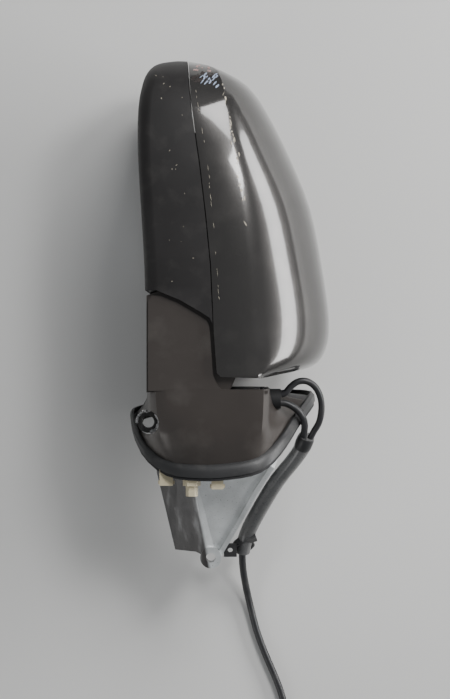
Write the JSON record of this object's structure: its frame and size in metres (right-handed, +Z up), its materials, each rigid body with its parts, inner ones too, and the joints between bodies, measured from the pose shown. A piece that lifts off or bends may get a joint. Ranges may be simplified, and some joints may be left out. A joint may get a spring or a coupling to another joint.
{
  "type": "car door mirror",
  "caption": "Left-hand car door mirror: folding head with powered glass on a moulded foot, with its die-cast door bracket and coiled harness.",
  "frame": {"origin": "centre of the bounding box of the mirror without its loose harness, on the plane that it lies on", "axes": "+X forward in the car, square to the glass; +Y outboard, from the bracket to the head's tip; +Z up in the car, along the fold axis"},
  "size_m": [0.1904, 0.5337, 0.128],
  "materials": {
    "cast_alloy": "as cast, satin",
    "steel": "zinc plated",
    "foot_plastic": "fine satin grain, weathered",
    "black_plastic": "moulded",
    "rim_plastic": "satin",
    "black_rubber": "matt",
    "ivory_plastic": "natural nylon",
    "cable_jacket": "satin vinyl",
    "spring_steel": "phosphated",
    "housing_plastic": "fine grain",
    "cap_paint": "dark metallic paint under clear coat, chipped",
    "white_plastic": "acetal",
    "motor_steel": "plated can",
    "heater_foil": "film",
    "mirror_face": "first-surface chrome on glass",
    "sleeve_vinyl": "ribbed satin vinyl",
    "tie_nylon": "translucent nylon",
    "red_plastic": "moulded",
    "brass_pins": "plated"
  },
  "bodies": {
    "foot": {"bracket_casting": "cast_alloy", "pivot_tube": "steel", "stop_ring": "steel", "foot_cover": "foot_plastic", "foot_undercover": "black_plastic", "undercover_screws": "steel", "base_rim": "rim_plastic", "door_seal": "black_rubber", "rim_clips": "ivory_plastic", "clip_peg": "ivory_plastic", "harness_gland": "black_rubber", "inner_loom": "cable_jacket", "fold_spring": "spring_steel", "spring_washer": "steel", "spring_clip": "spring_steel", "lead_a": "cable_jacket", "lead_b": "cable_jacket", "cable_sleeve": "sleeve_vinyl", "sleeve_tie": "tie_nylon", "sleeve_clip": "black_rubber", "cable": "cable_jacket", "cable_coil": "cable_jacket", "coil_tie": "black_plastic", "cable_tail": "cable_jacket", "plug_housing": "black_plastic", "plug_lock": "red_plastic", "plug_terminals": "brass_pins"},
    "head": {"head_frame": "cast_alloy", "frame_bush": "ivory_plastic", "housing_shell": "housing_plastic", "painted_cap": "cap_paint", "head_end_cover": "black_plastic", "frame_screws": "steel", "cap_clips": "white_plastic", "actuator_case": "black_plastic", "actuator_cover": "black_plastic", "motor_pan": "motor_steel", "motor_tilt": "motor_steel", "actuator_screws": "steel"},
    "jack_screw_pan": {"jack_pan": "white_plastic"},
    "jack_screw_tilt": {"jack_tilt": "white_plastic"},
    "gimbal": {"gimbal_ring": "white_plastic"},
    "glass": {"glass_carrier": "black_plastic", "heater_pad": "heater_foil", "mirror_glass": "mirror_face"}
  },
  "joints": [
    {"name": "head_fold", "type": "hinge", "parent": "foot", "child": "head", "pos_m": [-0.0385, -0.028, 0.064], "axis": [0, 0, 1], "range_deg": [0, 60]},
    {"name": "glass_pan", "type": "hinge", "parent": "head", "child": "gimbal", "pos_m": [-0.044, 0.088, 0.064], "axis": [0, 0, 1], "range_deg": [-8, 8]},
    {"name": "glass_tilt", "type": "hinge", "parent": "gimbal", "child": "glass", "pos_m": [-0.044, 0.088, 0.064], "axis": [0, 1, 0], "range_deg": [-8, 8]},
    {"name": "jack_pan_slide", "type": "slide", "parent": "head", "child": "jack_screw_pan", "axis": [-1, 0, 0], "range_m": [-0.0042, 0.0042]},
    {"name": "jack_tilt_slide", "type": "slide", "parent": "head", "child": "jack_screw_tilt", "axis": [1, 0, 0], "range_m": [-0.0042, 0.0042]}
  ],
  "couplings": [
    {"joint": "jack_pan_slide", "follows": "glass_pan", "m_per_rad": 0.028},
    {"joint": "jack_tilt_slide", "follows": "glass_tilt", "m_per_rad": 0.028}
  ]
}
